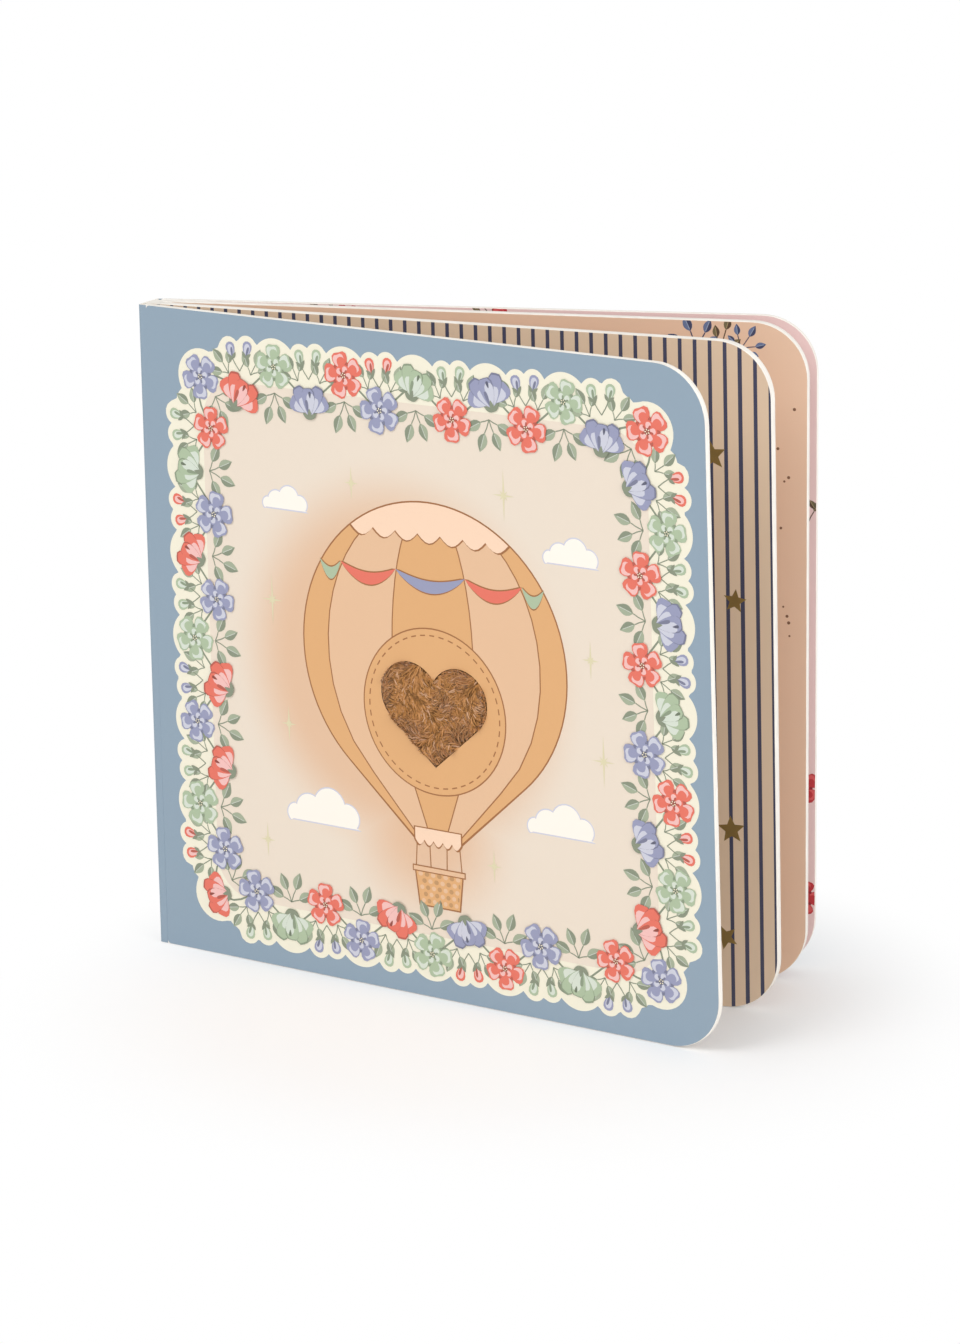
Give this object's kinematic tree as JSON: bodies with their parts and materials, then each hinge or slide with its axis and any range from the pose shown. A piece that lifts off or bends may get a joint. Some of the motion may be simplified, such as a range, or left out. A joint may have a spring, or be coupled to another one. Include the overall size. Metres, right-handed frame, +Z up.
{
  "type": "board book",
  "caption": "Square thick-leaved board book with hinged covers, standing slightly fanned, with a heart-shaped plush patch in the front cover.",
  "frame": {"origin": "foot of the bound edge, in the middle of the block of leaves where they are glued together", "axes": "+X from the spine to the fore-edge of the closed book, +Y from the front to the back, +Z up along the spine"},
  "size_m": [0.1708, 0.0733, 0.17],
  "materials": {
    "cover_board": "satin",
    "page_board": "satin",
    "spine_card": "satin",
    "plush": "matte"
  },
  "bodies": {
    "block": {"pages": "page_board", "spine": "spine_card"},
    "front": {"front_cover": "cover_board", "plush_heart": "plush"},
    "back": {"back_cover": "cover_board"}
  },
  "joints": [
    {"name": "front_crease", "type": "hinge", "parent": "block", "child": "front", "pos_m": [-0.002, -0.0048, 0], "axis": [0, 0, 1], "range_deg": [-171.9, 11]},
    {"name": "back_crease", "type": "hinge", "parent": "block", "child": "back", "pos_m": [-0.002, 0.0048, 0], "axis": [0, 0, 1], "range_deg": [-2.6, 166.5]}
  ]
}
